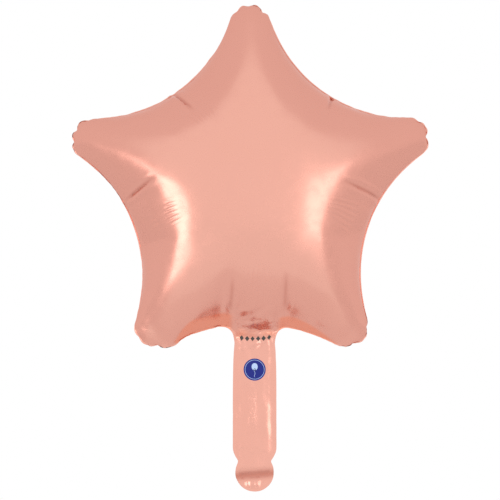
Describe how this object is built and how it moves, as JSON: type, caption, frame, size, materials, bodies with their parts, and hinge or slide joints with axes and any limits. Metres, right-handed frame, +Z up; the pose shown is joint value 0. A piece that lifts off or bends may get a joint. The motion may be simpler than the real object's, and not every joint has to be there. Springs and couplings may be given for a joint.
{
  "type": "star-shaped foil balloon",
  "caption": "Blown-up star of metallised foil, welded along a flat seam, with a flat filling tail, an inner valve sleeve and a round folding end tab.",
  "frame": {"origin": "middle of the neck, just under the star, where a ribbon is tied or a stick's cup grips", "axes": "+Z up along the star's top arm, -Y the front with the label, +X to the right seen from the front"},
  "size_m": [0.2028, 0.078, 0.2755],
  "materials": {
    "rose_gold_foil": "satin",
    "valve_film": "satin",
    "label_print": "gloss"
  },
  "bodies": {
    "balloon": {"front_star_panel": "rose_gold_foil", "back_star_panel": "rose_gold_foil", "valve_front_star": "valve_film", "valve_back_star": "valve_film"},
    "tail": {"front_tail_panel": "rose_gold_foil", "back_tail_panel": "rose_gold_foil", "valve_front_tail": "valve_film", "valve_back_tail": "valve_film", "round_label": "label_print"},
    "tab": {"front_tab_panel": "rose_gold_foil", "back_tab_panel": "rose_gold_foil", "valve_front_tab": "valve_film", "valve_back_tab": "valve_film"}
  },
  "joints": [
    {"name": "tail_fold", "type": "hinge", "parent": "balloon", "child": "tail", "pos_m": [0, 0, -0.004], "axis": [1, 0, 0], "range_deg": [-120, 120]},
    {"name": "tab_fold", "type": "hinge", "parent": "tail", "child": "tab", "pos_m": [0, 0, -0.069], "axis": [1, 0, 0], "range_deg": [-120, 120]}
  ]
}
